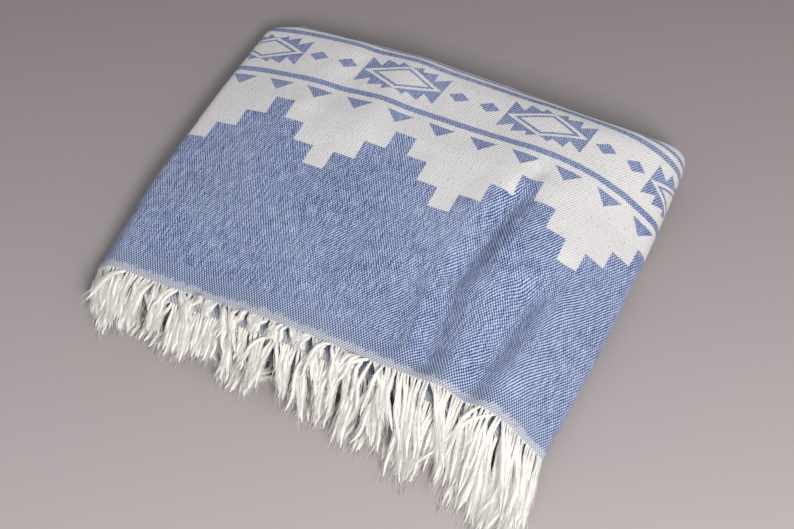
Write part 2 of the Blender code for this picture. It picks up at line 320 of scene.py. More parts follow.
def mesh_of(name, points, faces, smooth=True):
    mesh = bpy.data.meshes.new(name)
    mesh.from_pydata(points, [], faces)
    if smooth:
        mesh.shade_smooth()
    return mesh


def put(name, mesh):
    thing = bpy.data.objects.new(name, mesh)
    bpy.context.scene.collection.objects.link(thing)
    return thing


def applied(thing):
    """The object with its modifiers turned into a plain mesh."""
    graph = bpy.context.evaluated_depsgraph_get()
    mesh = bpy.data.meshes.new_from_object(thing.evaluated_get(graph))
    thing.modifiers.clear()
    thing.data = mesh
    mesh.name = thing.name
    return thing


def across_places():
    stretches = [np.linspace(start, end, count + 1)[:-1] for start, end, count in COLUMNS]
    return np.append(np.concatenate(stretches), RIGHT_EDGE)


def mark_places(mesh, u, along):
    """Keeps each corner's place across and along the cloth, and its distance to the nearer hem."""
    places = np.stack([np.broadcast_to(u, along.shape), along], axis=-1).reshape(-1, 2)
    corner = np.zeros(len(mesh.loops), int)
    mesh.loops.foreach_get("vertex_index", corner)
    uv = mesh.uv_layers.new(name="cloth_place")
    uv.uv.foreach_set("vector", places[corner].astype(np.float32).ravel())
    to_hem = np.minimum(along, along[-1] - along)
    attribute = mesh.attributes.new("to_hem", "FLOAT", "POINT")
    attribute.data.foreach_set("value", to_hem.astype(np.float32).ravel())


def rest_on_floor(mesh):
    height = np.zeros(len(mesh.vertices) * 3)
    mesh.vertices.foreach_get("co", height)
    height[2::3] = np.maximum(height[2::3], 0.0)
    mesh.vertices.foreach_set("co", height)


def make_cloth():
    """The folded sheet and its length. Its weave is laid out on the cloth without its creases."""
    u = across_places()
    path = [(np.broadcast_to(s, u.shape).astype(float), layer) for s, layer in folded_path(u)]
    grid = np.array([layer_points(u, s, layer, rippled=layer == FIRST)[0] for s, layer in path])
    smooth = np.array([layer_points(u, s, layer, creased=False)[0] for s, layer in path])
    along = np.zeros(grid.shape[:2])
    along[1:] = np.cumsum(np.linalg.norm(np.diff(smooth, axis=0), axis=2), axis=0)
    index = np.arange(along.size).reshape(along.shape)
    faces = np.stack([index[:-1, :-1], index[:-1, 1:], index[1:, 1:], index[1:, :-1]], axis=-1)
    mesh = mesh_of("throw_cloth", grid.reshape(-1, 3).tolist(), faces.reshape(-1, 4).tolist())
    mark_places(mesh, u, along)
    cloth = put("throw_cloth", mesh)
    thicken = cloth.modifiers.new("cloth_thickness", "SOLIDIFY")
    thicken.thickness = CLOTH_THICKNESS
    thicken.offset = 0.0
    applied(cloth)
    rest_on_floor(cloth.data)
    return cloth, float(along[-1].mean())


cloth, cloth_length = make_cloth()

# Woven border, in metres across the cloth and from the nearer hem. The steps rise and fall over
# one repeat. Past the border's far side the cloth is plain blue again.
STEP_LEVEL = 0.2555
STEP_REPEAT = 6
TRIANGLE_TIP, TRIANGLE_BASE, TRIANGLE_HALF = 0.2660, 0.2810, 0.016
TRIANGLE_CENTRE = 3.675 * SQUARE
STRIPE = (0.2870, 0.2945)
BACK_STRIPES = ((0.3540, 0.3612), (0.3664, 0.3716))
# Behind this place the back fold has drawn the weave aside, by this share of the distance.
DRAWN_FROM, DRAWN_SHARE = 0.304, 0.12
MEDALLION_S = 0.3265
MEDALLION_CENTRE = 0.1115
MEDALLION_PITCH = 7 * SQUARE
MEDALLION_HALF = 0.047
# Half height of the medallion's toothed outline. Columns: share of its half width, half height.
TEETH = (
    (0.000, 0.0184),
    (0.096, 0.0188),
    (0.260, 0.0226),
    (0.302, 0.0164),
    (0.621, 0.0218),
    (0.664, 0.0108),
    (1.000, 0.0205),
)
LOZENGE_SLANT = 2.5
WHITE_LOZENGE, BLUE_RING, IVORY_HEART = 0.0180, 0.0150, 0.0118
DIAMONDS = (0.0658, 0.1008)
DIAMOND_HALF = (0.012, 0.0075)
BACK_TRIANGLE = (0.3800, 0.3950)
BORDER_END = 2 * MEDALLION_S - STEP_LEVEL + 3 * SQUARE
# Limits for a shape that is open on one side, pitches enough to keep every place positive, and
# the width of a shape's soft edge.
LEAST, MOST = -1.0, 10.0
SPARE_PITCHES = 50
SHAPE_EDGE = 0.0004

# Floats of the twill. Columns: waves in a metre across, waves in a metre along, drift.
TWILL, COUNTER_TWILL = (330.0, -215.0, 9.0), (345.0, 225.0, -7.0)
# Noise that makes the floats wander, the weave patchy, the blue cloudy and the ivory flecked.
# Columns: waves in a metre, detail.
DRIFT, PATCHES, CLOUDS, FLECKS = (26.0, 2.0), (14.0, 2.0), (9.0, 3.0), (650.0, 0.0)
GRAIN_SCALE = 560.0
# Changes of the weave. Columns: from, to, number at the first, number at the second.
STRONGER_TO_RIGHT = (0.10, 0.42, -0.10, 0.10)
TWILL_IN_PATCH = (0.34, 0.64, 0.32, 0.76)
COUNTER_IN_PATCH = (0.36, 0.62, 0.60, 0.15)
CLOUDED = (0.35, 0.70, 0.0, 0.16)
# Painted shade on the ivory where the weave's floats lie low, in the hollows between them.
PAINTED_SHADE_ON_IVORY = (0.9, -1.4, 0.0, 0.48)
TWILL_GRAIN = 4.1
# The basket weave lies between the hem and this distance, with its edge this soft.
BASKET_BAND, BASKET_EDGE = 0.028, 0.006
BASKET_FLOATS, BASKET_GRAIN = 1.45, 1.8
# The weave is calmer in the border's blue shapes, from this distance to the hem.
CALM_FROM, CALM_OVER = 0.2640, 0.004
BOLD, CALM, LIGHT_SHARE = 0.80, 0.34, 0.33
# The border's edges are ragged by this much across and along, with noise of this size and detail.
RAGGED, RAGGED_NOISE = (0.0012, 0.0016), (900.0, 0.0)
# The pale fuzzy edge at a hem starts at the first distance and is full at the second.
PALE_BAND, PALE_SHARE = (0.0105, 0.0075), 0.90
PALE_NOISE, PALE_UNEVEN = (150.0, 1.0), 0.012
PALE_GRAIN_SCALE, PALE_FUZZ = 420.0, 0.024
# The ivory is flecked where the noise passes this number, with a soft edge.
FLECKED_FROM, FLECK_EDGE = 0.755, 0.05

BLUE_YARN = (0.010, 0.040, 0.185)
LIGHT_YARN = (0.590, 0.660, 0.820)
PALE_EDGE, PALE_SHADE = (0.710, 0.715, 0.740), (0.440, 0.465, 0.540)
IVORY = (0.760, 0.730, 0.710)
# The ivory in painted shade, for the hollows between its floats.
IVORY_IN_PAINTED_SHADE = (0.530, 0.508, 0.498)
FLECK = (0.100, 0.090, 0.100)
COTTON = {"Roughness": 0.92, "Sheen Weight": 0.15, "Sheen Roughness": 0.5, "Specular IOR Level": 0.15}
COTTON_RELIEF = (0.0006, 0.60)
# Grain of the cotton: slubs are this much longer than wide, and the two noises' sizes and shares.
SLUB_STRETCH = 0.16
FINE_GRAIN, SLUBS = (1.0, 2.0, 0.65), (0.8, 1.0)
FINE_SHARE, SLUB_SHARE = 0.62, 0.38


def wire(tree, socket, value):
    if isinstance(value, bpy.types.NodeSocket):
        tree.links.new(value, socket)
    else:
        socket.default_value = value


def maths(tree, operation, *values, clamp=False):
    node = tree.nodes.new("ShaderNodeMath")
    node.operation = operation
    node.use_clamp = clamp
    for socket, value in zip(node.inputs, values):
        wire(tree, socket, value)
    return node.outputs[0]


# Sockets of a mix node by its kind: the two inputs and the result.
MIX_SOCKETS = {"FLOAT": (2, 3, 0), "RGBA": (6, 7, 2)}


def blend(tree, kind, share, first, second):
    node = tree.nodes.new("ShaderNodeMix")
    node.data_type = kind
    at_none, at_full, result = MIX_SOCKETS[kind]
    wire(tree, node.inputs["Factor"], share)
    wire(tree, node.inputs[at_none], first)
    wire(tree, node.inputs[at_full], second)
    return node.outputs[result]


def blend_colour(tree, share, *colours):
    """The first colour turning into the second, each a socket or red, green and blue."""
    opaque = [c if isinstance(c, bpy.types.NodeSocket) else (*c, 1.0) for c in colours]
    return blend(tree, "RGBA", share, *opaque)


def between(tree, value, low, high, edge=SHAPE_EDGE):
    """One where value lies between low and high, with a narrow soft edge."""
    above = maths(tree, "DIVIDE", maths(tree, "SUBTRACT", value, low), edge, clamp=True)
    below = maths(tree, "DIVIDE", maths(tree, "SUBTRACT", high, value), edge, clamp=True)
    return maths(tree, "MULTIPLY", above, below)


def from_centre(tree, value, centre, pitch):
    """Distance from the nearest of the centres that lie a pitch apart."""
    from_first = maths(tree, "SUBTRACT", value, centre)
    moved = maths(tree, "ADD", from_first, (SPARE_PITCHES + 0.5) * pitch)
    turned = maths(tree, "MODULO", moved, pitch)
    return maths(tree, "ABSOLUTE", maths(tree, "SUBTRACT", turned, pitch / 2))


def soft_noise(tree, place, scale, detail, roughness=0.5):
    node = tree.nodes.new("ShaderNodeTexNoise")
    tree.links.new(place, node.inputs["Vector"])
    node.inputs["Scale"].default_value = scale
    node.inputs["Detail"].default_value = detail
    node.inputs["Roughness"].default_value = roughness
    return node.outputs["Fac"]


def centred_noise(tree, place, scale, detail):
    return maths(tree, "SUBTRACT", soft_noise(tree, place, scale, detail), 0.5)


def remap(tree, value, low, high, to_low=0.0, to_high=1.0):
    node = tree.nodes.new("ShaderNodeMapRange")
    wire(tree, node.inputs["Value"], value)
    for name, number in (("From Min", low), ("From Max", high), ("To Min", to_low), ("To Max", to_high)):
        wire(tree, node.inputs[name], number)
    return node.outputs["Result"]


def table_curve(tree, value, rows):
    """Straight-line look-up in rows of (place from 0 to 1, number)."""
    node = tree.nodes.new("ShaderNodeFloatCurve")
    curve = node.mapping.curves[0]
    largest = max(number for _, number in rows)
    for index, (place, number) in enumerate(rows):
        if index in (0, len(rows) - 1):
            point = curve.points[0 if index == 0 else -1]
            point.location = (place, number / largest)
        else:
            point = curve.points.new(place, number / largest)
        point.handle_type = "VECTOR"
    node.mapping.update()
    wire(tree, node.inputs["Value"], value)
    return maths(tree, "MULTIPLY", node.outputs["Value"], largest)


def weighted(tree, *pairs):
    """Sum of values, each times its weight."""
    total = 0.0
    for value, weight in pairs:
        total = maths(tree, "MULTIPLY_ADD", value, weight, total)
    return total


def either(tree, *shapes):
    """One where any of the shapes is."""
    mask = shapes[0]
    for shape in shapes[1:]:
        mask = maths(tree, "MAXIMUM", mask, shape)
    return mask


def stepped_field(tree, u, s):
    moved = maths(tree, "ADD", u, 10 * STEP_REPEAT * SQUARE)
    cell = maths(tree, "FLOOR", maths(tree, "DIVIDE", moved, SQUARE))
    turn = maths(tree, "MODULO", cell, STEP_REPEAT)
    level = maths(tree, "MINIMUM", turn, maths(tree, "SUBTRACT", STEP_REPEAT, turn))
    edge = maths(tree, "SUBTRACT", STEP_LEVEL, maths(tree, "MULTIPLY", level, SQUARE))
    return between(tree, s, LEAST, edge)


def triangle_rows(tree, u, s):
    apart = from_centre(tree, u, TRIANGLE_CENTRE, 2 * SQUARE)
    rise = maths(tree, "MULTIPLY", apart, (TRIANGLE_BASE - TRIANGLE_TIP) / TRIANGLE_HALF)
    front = between(tree, s, maths(tree, "ADD", rise, TRIANGLE_TIP), TRIANGLE_BASE)
    near, far = BACK_TRIANGLE
    return either(tree, front, between(tree, s, near, maths(tree, "SUBTRACT", far, rise)))


def medallions(tree, u, s):
    """Toothed medallions, each with an ivory lozenge and a blue ring, and the small diamonds."""
    past = maths(tree, "MAXIMUM", maths(tree, "SUBTRACT", s, DRAWN_FROM), 0.0)
    u = maths(tree, "SUBTRACT", u, maths(tree, "MULTIPLY", past, DRAWN_SHARE))
    du = from_centre(tree, u, MEDALLION_CENTRE, MEDALLION_PITCH)
    dv = maths(tree, "ABSOLUTE", maths(tree, "SUBTRACT", s, MEDALLION_S))
    outward = maths(tree, "DIVIDE", du, MEDALLION_HALF)
    toothed = between(tree, dv, LEAST, table_curve(tree, outward, TEETH))
    inside = maths(tree, "MULTIPLY", toothed, between(tree, du, LEAST, MEDALLION_HALF))
    lozenge = maths(tree, "ADD", maths(tree, "DIVIDE", du, LOZENGE_SLANT), dv)
    outer = maths(tree, "MULTIPLY", inside, between(tree, lozenge, WHITE_LOZENGE, MOST))
    shapes = [outer, between(tree, lozenge, IVORY_HEART, BLUE_RING)]
    half_u, half_v = DIAMOND_HALF
    for place in DIAMONDS:
        aside = from_centre(tree, u, MEDALLION_CENTRE + place, MEDALLION_PITCH)
        size = maths(tree, "ADD", maths(tree, "MULTIPLY", aside, half_v / half_u), dv)
        shapes.append(between(tree, size, LEAST, half_v))
    return either(tree, *shapes)


def border_mask(tree, u, s):
    """One where the cloth shows blue, zero where it shows ivory."""
    stripes = [between(tree, s, low, high) for low, high in (STRIPE, *BACK_STRIPES)]
    beyond = between(tree, s, BORDER_END, MOST)
    drawn = (stepped_field(tree, u, s), triangle_rows(tree, u, s), medallions(tree, u, s))
    return either(tree, *drawn, *stripes, beyond)


def slanting_wave(tree, u, s, drift, per_u, per_s, drifting):
    """A wave from -1 to 1 along one set of the weave's slanting floats."""
    across = maths(tree, "MULTIPLY", u, per_u * math.tau)
    along = maths(tree, "MULTIPLY", s, per_s * math.tau)
    wandering = maths(tree, "MULTIPLY", drift, drifting)
    phase = maths(tree, "ADD", maths(tree, "ADD", across, along), wandering)
    return maths(tree, "SINE", phase)


def cotton_grain_group():
    """Uneven spun cotton: fine grain with longer slubs along the second direction of the place."""
    group = bpy.data.node_groups.new("cotton_grain", "ShaderNodeTree")
    group.interface.new_socket("Place", in_out="INPUT", socket_type="NodeSocketVector")
    group.interface.new_socket("Grain", in_out="OUTPUT", socket_type="NodeSocketFloat")
    given = group.nodes.new("NodeGroupInput")
    stretched = group.nodes.new("ShaderNodeMapping")
    stretched.inputs["Scale"].default_value = (1.0, SLUB_STRETCH, 1.0)
    group.links.new(given.outputs["Place"], stretched.inputs["Vector"])
    fine = soft_noise(group, given.outputs["Place"], *FINE_GRAIN)
    slubs = soft_noise(group, stretched.outputs["Vector"], *SLUBS)
    result = group.nodes.new("NodeGroupOutput")
    both = weighted(group, (fine, FINE_SHARE), (slubs, SLUB_SHARE))
    group.links.new(both, result.inputs["Grain"])
    return group


cotton_grain = cotton_grain_group()


def grain_of(tree, place, scale):
    """The shared cotton grain at a place, centred on zero."""
    scaled = tree.nodes.new("ShaderNodeVectorMath")
    scaled.operation = "SCALE"
    tree.links.new(place, scaled.inputs[0])
    scaled.inputs["Scale"].default_value = scale
    node = tree.nodes.new("ShaderNodeGroup")
    node.node_tree = cotton_grain
    tree.links.new(scaled.outputs[0], node.inputs["Place"])
    return maths(tree, "SUBTRACT", node.outputs["Grain"], 0.5)


def weave_floats(tree, place, u, s, along):
    """Height of the floats, about -1 to 1, and how much light yarn shows, 0 to 1."""
    drift = centred_noise(tree, place, *DRIFT)
    twill = slanting_wave(tree, u, along, drift, *TWILL)
    counter = slanting_wave(tree, u, along, drift, *COUNTER_TWILL)
    patch = soft_noise(tree, place, *PATCHES)
    to_right = remap(tree, u, *STRONGER_TO_RIGHT)
    strong = maths(tree, "ADD", remap(tree, patch, *TWILL_IN_PATCH), to_right)
    weak = remap(tree, patch, *COUNTER_IN_PATCH)
    grain = grain_of(tree, place, GRAIN_SCALE)
    twilled = weighted(tree, (twill, strong), (counter, weak), (grain, TWILL_GRAIN))
    basket = weighted(tree, (twill, BASKET_FLOATS), (counter, BASKET_FLOATS), (grain, BASKET_GRAIN))
    in_basket = between(tree, s, LEAST, BASKET_BAND, BASKET_EDGE)
    floats = blend(tree, "FLOAT", in_basket, twilled, basket)
    bold = remap(tree, s, CALM_FROM - CALM_OVER, CALM_FROM, BOLD, CALM)
    light = maths(tree, "MULTIPLY_ADD", floats, bold, LIGHT_SHARE, clamp=True)
    return floats, light


def start_material(name, finish):
    """A new material, its node tree and its shader with its constant values set."""
    material = bpy.data.materials.new(name)
    material.use_nodes = True
    shader = material.node_tree.nodes["Principled BSDF"]
    for socket, value in finish.items():
        shader.inputs[socket].default_value = value
    return material, material.node_tree, shader


def add_relief(tree, shader, height, distance, strength):
    bump = tree.nodes.new("ShaderNodeBump")
    bump.inputs["Distance"].default_value = distance
    bump.inputs["Strength"].default_value = strength
    tree.links.new(height, bump.inputs["Height"])
    tree.links.new(bump.outputs["Normal"], shader.inputs["Normal"])


def ragged_border(tree, place, u, s):
    jitter = centred_noise(tree, place, *RAGGED_NOISE)
    across, along = RAGGED
    ragged_u = maths(tree, "MULTIPLY_ADD", jitter, across, u)
    ragged_s = maths(tree, "MULTIPLY_ADD", jitter, along, s)
    return border_mask(tree, ragged_u, ragged_s)


def pale_hem(tree, place, s):
    """How far the cloth has turned into the pale fuzzy edge of its hem."""
    uneven = centred_noise(tree, place, *PALE_NOISE)
    grain = grain_of(tree, place, PALE_GRAIN_SCALE)
    fuzzy = weighted(tree, (s, 1.0), (uneven, PALE_UNEVEN), (grain, PALE_FUZZ))
    return remap(tree, fuzzy, *PALE_BAND, 0.0, PALE_SHARE)


def cloth_material():
    material, tree, shader = start_material("blue_cotton_weave", COTTON)
    cloth_place = tree.nodes.new("ShaderNodeUVMap")
    cloth_place.uv_map = "cloth_place"
    place = cloth_place.outputs["UV"]
    parts = tree.nodes.new("ShaderNodeSeparateXYZ")
    tree.links.new(place, parts.inputs[0])
    u, along = parts.outputs["X"], parts.outputs["Y"]
    hem = tree.nodes.new("ShaderNodeAttribute")
    hem.attribute_name = "to_hem"
    s = hem.outputs["Fac"]

    floats, light = weave_floats(tree, place, u, s, along)
    field = blend_colour(tree, light, BLUE_YARN, LIGHT_YARN)
    cloudy = remap(tree, soft_noise(tree, place, *CLOUDS), *CLOUDED)
    field = blend_colour(tree, cloudy, field, LIGHT_YARN)
    # Painted shade darkens the ivory where the floats lie low.
    ivory = blend_colour(tree, remap(tree, floats, *PAINTED_SHADE_ON_IVORY), IVORY, IVORY_IN_PAINTED_SHADE)
    speck = soft_noise(tree, place, *FLECKS)
    ivory = blend_colour(tree, between(tree, speck, FLECKED_FROM, MOST, FLECK_EDGE), ivory, FLECK)
    colour = blend_colour(tree, ragged_border(tree, place, u, s), ivory, field)
    edge = blend_colour(tree, light, PALE_SHADE, PALE_EDGE)
    colour = blend_colour(tree, pale_hem(tree, place, s), colour, edge)
    tree.links.new(colour, shader.inputs["Base Color"])
    add_relief(tree, shader, floats, *COTTON_RELIEF)
    return material


cloth.data.materials.clear()
cloth.data.materials.append(cloth_material())
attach(cloth, "root")
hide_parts("blanket")

# Fringes of the two hems
# The warp yarns left uncut past each hem, loosely twisted cotton that has combed out into
# fluffy clumps. Each yarn has a solid middle and loose fibres, and lies from the hem to the floor.

YARN_PITCH, LOWER_YARN_PITCH = 0.0034, 0.0120
# Distance from each side of the cloth to the first and the last yarn.
SIDE_MARGINS = (0.001, 0.002)
GUIDE_POINTS = 15
ROOT_TUCK = 0.0006
# Yarns are left out where the cloth turns down between these tilts, in degrees. Past them the
# cloth lies underneath, and its yarns are shorter and soon reach the floor.
BARE_TILTS = (105, 166)
LOWER_LENGTH_SHARE, LOWER_DROP_OVER = 0.80, 0.3
# Height at which the yarns end: the most on top, drawn by chance, and the height underneath.
FLOOR_LIFT = {FIRST: (0.0080, 0.0022), SECOND: (0.0050, 0.0030)}
LIFT_SHARES = (0.2, 1.0)
LEAST_HEIGHT = 0.0016
# Fall of the fringe. Columns: distance in front of the first hem, share of height left.
FALL = ((0.000, 1.00), (0.016, 0.97), (0.028, 0.80), (0.044, 0.40), (0.058, 0.12), (0.070, 0.0))
FALL_POWER = {FIRST: 1.0, SECOND: 1.5}
LEAST_FORWARD = 0.02
# Lie of the yarns. Columns: place x, sweep to the right in degrees, length.
LIE = (
    (-0.260, 18, 0.057),
    (-0.225, 14, 0.058),
    (-0.185, 11, 0.056),
    (-0.100, 10, 0.060),
    (0.000, 14, 0.069),
    (0.100, 16, 0.088),
    (0.240, 7, 0.102),
)
SWEEP_SPREAD, LENGTH_SPREAD, PLACE_SPREAD = 3.0, (0.90, 1.05), 0.3
# How a clump differs from the next: yarns, turn in degrees, share of length, how far it gathers.
CLUMP_YARNS, CLUMP_TURN, CLUMP_STRETCH, CLUMP_GATHER = (4, 11), (-11, 11), (0.76, 1.12), (0.30, 0.75)
# How soon a yarn gathers into its clump: one over the share of its length by which it has.
GATHER_SPEED = (1.3, 2.6)
# One yarn in this many lies loose across the others, turned to the left by up to this much.
LOOSE_ONE_IN, LOOSE_TURN, LOOSE_SHARES = 11, 46, (0.4, 1.0)
# Bends of a yarn. Columns: largest size, turn of the wave over the yarn's length. Kinks start
# past the root, soon after it at a high speed.
BEND, KINK, KINK_SPEED = (0.0048, 5.2), (0.0011, 14.0), 5.0
# A yarn arches by up to this much, a loose one by this much more, over one part in HUMP_TURN.
HUMP, LOOSE_HUMP, HUMP_TURN = 0.0040, 0.0060, 1.6
# How a yarn opens along its length.
# Columns: share of the length, radius of its solid middle, reach of its loose fibres.
YARN_SHAPE = (
    (0.00, 0.0011, 0.0011),
    (0.12, 0.0011, 0.0013),
    (0.32, 0.0016, 0.0022),
    (0.60, 0.0021, 0.0034),
    (0.84, 0.0017, 0.0040),
    (1.00, 0.0004, 0.0032),
)


def fall_share(front):
    distance, share = columns_of(FALL)
    return np.interp(front, distance, share)


def yarn_plan(first, last, pitch, chance):
    """Yarns gathered in clumps. Columns: place, clump's middle, turn, length share, gather."""
    plan = []
    start = first
    while start < last:
        count = chance.integers(*CLUMP_YARNS)
        uneven = chance.uniform(-PLACE_SPREAD, PLACE_SPREAD, count)
        places = start + pitch * (np.arange(count) + uneven)
        mood = [chance.uniform(*span) for span in (CLUMP_TURN, CLUMP_STRETCH, CLUMP_GATHER)]
        plan += [(place, places.mean(), *mood) for place in places if place < last]
        start += pitch * count
    return plan


def yarn_aim(root_x, upper, turn, stretch, chance):
    """Whether a yarn lies loose across the others, its sweep in radians and its length."""
    x_place, angle, lengths = columns_of(LIE)
    loose = upper and chance.integers(LOOSE_ONE_IN) == 0
    turn -= chance.uniform(*LOOSE_SHARES) * LOOSE_TURN if loose else 0.0
    sweep = math.radians(np.interp(root_x, x_place, angle) + turn + chance.normal(0.0, SWEEP_SPREAD))
    length = np.interp(root_x, x_place, lengths) * stretch * chance.uniform(*LENGTH_SPREAD)
    return loose, sweep, length if upper else length * LOWER_LENGTH_SHARE


def bend(share, size, turn, chance):
    """A wave to either side that starts anywhere."""
    return chance.uniform(-size, size) * np.sin(chance.uniform(0.0, math.tau) + share * turn)


def yarn_guide(yarn, layer, step, chance):
    """Middle line of one yarn from its hem to its tip, or nothing where the roll is bare."""
    place, middle, turn, stretch, gather = yarn
    roots, tilts = layer_points(np.array([place]), np.array([ROOT_TUCK - step]), layer)
    root, tilt = roots[0], tilts[0]
    bare_from, bare_to = np.radians(BARE_TILTS)
    if bare_from < tilt < bare_to:
        return None
    upper = tilt <= bare_from
    loose, sweep, length = yarn_aim(root[0], upper, turn, stretch, chance)
    lifted, underneath = FLOOR_LIFT[layer]
    level = chance.uniform(*LIFT_SHARES) * lifted if upper else underneath
    drop = max(root[2] - level, 0.0)
    forward = math.sqrt(max(length**2 - drop**2, LEAST_FORWARD**2)) * math.cos(sweep)
    share = np.linspace(0.0, 1.0, GUIDE_POINTS)
    front = step + share * forward
    kept = 1.0 - ease(share / LOWER_DROP_OVER)
    if upper:
        kept = fall_share(front) / fall_share(step)
    pull = (middle - place) * math.cos(tilt) * gather * ease(share * chance.uniform(*GATHER_SPEED))
    sway = bend(share, *BEND, chance) * share
    hump = chance.uniform(0.0, HUMP) if upper else 0.0
    hump += LOOSE_HUMP if loose else 0.0
    kink = bend(share, *KINK, chance) * ease(share * KINK_SPEED)
    x = root[0] + math.tan(sweep) * share * forward + pull + sway + kink
    z = level + drop * kept ** FALL_POWER[layer]
    z += hump * np.sin(math.pi * np.minimum(share * HUMP_TURN, 1.0))
    return np.stack([x, root[1] - (front - step), np.maximum(z, LEAST_HEIGHT)], axis=1)


def yarn_guides(layer, step, seed):
    chance = np.random.default_rng(seed)
    left, right = SIDE_MARGINS
    plan = yarn_plan(LEFT_EDGE + left, ROLL_TO, YARN_PITCH, chance)
    plan += yarn_plan(ROLL_TO, RIGHT_EDGE - right, LOWER_YARN_PITCH, chance)
    guides = [yarn_guide(yarn, layer, step, chance) for yarn in plan]
    return np.array([guide for guide in guides if guide is not None])


def guide_object(name, guides):
    count = len(guides)
    index = np.arange(count * GUIDE_POINTS).reshape(count, GUIDE_POINTS)
    edges = np.stack([index[:, :-1], index[:, 1:]], axis=-1).reshape(-1, 2)
    mesh = bpy.data.meshes.new(name)
    mesh.from_pydata(guides.reshape(-1, 3).tolist(), edges.tolist(), [])
    return put(name, mesh)


# A fibre's tube and a yarn's middle: points along each, sides round it.
FIBRE_POINTS, FIBRE_SIDES = 9, 3
MIDDLE_POINTS, MIDDLE_SIDES, MIDDLE_ENDS = 14, 6, 0.86
# A fibre keeps at least the first share of its reach, and by chance up to the second more.
LEAST_REACH, REACH_SPREAD = 0.70, 0.50
# Wandering of the fibres: waves to a metre, and how far apart the fibres lie in the noise.
WANDER_SCALE, WANDER_APART = 60.0, 40.0
# A fibre thins by this share towards its tip, with this power of its length.
FIBRE_THINNING, THINNING_POWER = -0.75, 3.0
FLOOR_GAP = 0.0002
TONE_DRAW = 9


def vector_maths(tree, operation, *values, scale=None):
    node = tree.nodes.new("ShaderNodeVectorMath")
    node.operation = operation
    for socket, value in zip(node.inputs, values):
        wire(tree, socket, value)
    if scale is not None:
        wire(tree, node.inputs["Scale"], scale)
    return node.outputs[0]


def random_number(tree, seed, extra):
    """A different number from 0 to 1 for each fibre."""
    node = tree.nodes.new("FunctionNodeRandomValue")
    node.data_type = "FLOAT"
    tree.links.new(tree.nodes.new("GeometryNodeInputIndex").outputs[0], node.inputs["ID"])
    tree.links.new(maths(tree, "ADD", seed, extra), node.inputs["Seed"])
    return node.outputs[1]


def stored(tree, geometry, name, kind, value):
    node = tree.nodes.new("GeometryNodeStoreNamedAttribute")
    node.data_type = kind
    node.domain = "POINT"
    node.inputs["Name"].default_value = name
    tree.links.new(geometry, node.inputs["Geometry"])
    wire(tree, node.inputs["Value"], value)
    return node.outputs["Geometry"]


def drawn_for_each(tree, geometry, seed, names, first=0):
    """The geometry with a random number for each of its curves under each name."""
    node = tree.nodes.new("GeometryNodeCaptureAttribute")
    node.domain = "CURVE"
    for extra, name in enumerate(names, first):
        node.capture_items.new("FLOAT", name)
        tree.links.new(random_number(tree, seed, extra), node.inputs[name])
    tree.links.new(geometry, node.inputs["Geometry"])
    return node.outputs


def share_along(tree):
    return tree.nodes.new("GeometryNodeSplineParameter").outputs["Factor"]


def resampled(tree, curve, count):
    node = tree.nodes.new("GeometryNodeResampleCurve")
    tree.links.new(curve, node.inputs["Curve"])
    node.inputs["Count"].default_value = count
    return node.outputs["Curve"]


def trimmed(tree, curve, end):
    node = tree.nodes.new("GeometryNodeTrimCurve")
    tree.links.new(curve, node.inputs["Curve"])
    wire(tree, node.inputs["End"], end)
    return node.outputs["Curve"]


def tube(tree, curve, sides, radius):
    """A tube round a curve that keeps its place round the ring for the shader."""
    ring = tree.nodes.new("GeometryNodeCurvePrimitiveCircle")
    ring.inputs["Resolution"].default_value = sides
    ring.inputs["Radius"].default_value = 1.0
    position = tree.nodes.new("GeometryNodeInputPosition").outputs[0]
    marked = stored(tree, ring.outputs["Curve"], "round_yarn", "FLOAT_VECTOR", position)
    node = tree.nodes.new("GeometryNodeCurveToMesh")
    tree.links.new(curve, node.inputs["Curve"])
    tree.links.new(marked, node.inputs["Profile Curve"])
    wire(tree, node.inputs["Scale"], radius)
    node.inputs["Fill Caps"].default_value = True
    return node.outputs["Mesh"]


def wound_round(tree, angle):
    """The way out from a guide at an angle round it."""
    normal = tree.nodes.new("GeometryNodeInputNormal").outputs[0]
    tangent = tree.nodes.new("GeometryNodeInputTangent").outputs[0]
    side = vector_maths(tree, "CROSS_PRODUCT", tangent, normal)
    return vector_maths(
        tree, "ADD",
        vector_maths(tree, "SCALE", normal, scale=maths(tree, "COSINE", angle)),
        vector_maths(tree, "SCALE", side, scale=maths(tree, "SINE", angle)),
    )


def straying(tree, tone, size):
    """Soft noise that moves each fibre its own way."""
    own = tree.nodes.new("ShaderNodeCombineXYZ")
    tree.links.new(maths(tree, "MULTIPLY", tone, WANDER_APART), own.inputs[0])
    position = tree.nodes.new("GeometryNodeInputPosition").outputs[0]
    place = vector_maths(tree, "SCALE", position, scale=WANDER_SCALE)
    wander = tree.nodes.new("ShaderNodeTexNoise")
    wander.inputs["Scale"].default_value = 1.0
    wander.inputs["Detail"].default_value = 1.0
    tree.links.new(vector_maths(tree, "ADD", place, own.outputs[0]), wander.inputs["Vector"])
    centred = vector_maths(tree, "SUBTRACT", wander.outputs["Color"], (0.5, 0.5, 0.5))
    return vector_maths(tree, "SCALE", centred, scale=size)


